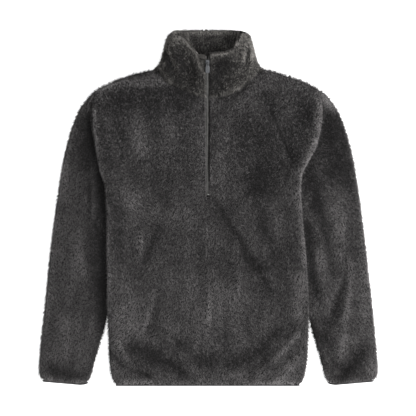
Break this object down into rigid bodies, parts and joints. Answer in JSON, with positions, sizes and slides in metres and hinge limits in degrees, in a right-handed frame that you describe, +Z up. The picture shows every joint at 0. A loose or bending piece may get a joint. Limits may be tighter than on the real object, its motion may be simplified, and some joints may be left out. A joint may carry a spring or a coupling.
{
  "type": "fleece pullover",
  "caption": "Plush fleece pullover with a stand-up collar, half zip, long set-in sleeves and bound hem and cuffs, laid flat on its back.",
  "frame": {"origin": "centre of the garment's outline, on the surface it lies on", "axes": "+Z up from the surface through the front of the garment, +Y from hem to collar, +X to the right seen from above"},
  "size_m": [0.746, 0.7826, 0.0449],
  "materials": {
    "fleece": "plush pile, charcoal",
    "collar_fleece": "plush pile, charcoal",
    "zip_tape": "woven tape beside a fine coil",
    "binding": "elastic binding",
    "zip_metal": "satin, dark grey"
  },
  "bodies": {
    "pullover": {"back": "fleece", "front": "fleece", "sleeve_left": "fleece", "sleeve_right": "fleece", "collar": "collar_fleece", "chin_guard": "collar_fleece", "zip_tape_left": "zip_tape", "zip_tape_right": "zip_tape", "zip_slider": "zip_metal", "hem_binding": "binding", "cuff_binding_left": "binding", "cuff_binding_right": "binding"},
    "pull_tab": {"zip_pull": "zip_metal"}
  },
  "joints": [
    {"name": "zip_pull_hinge", "type": "hinge", "parent": "pullover", "child": "pull_tab", "pos_m": [-0.001, 0.31584, 0.04185], "axis": [-1, 0, 0], "range_deg": [0, 150]}
  ]
}
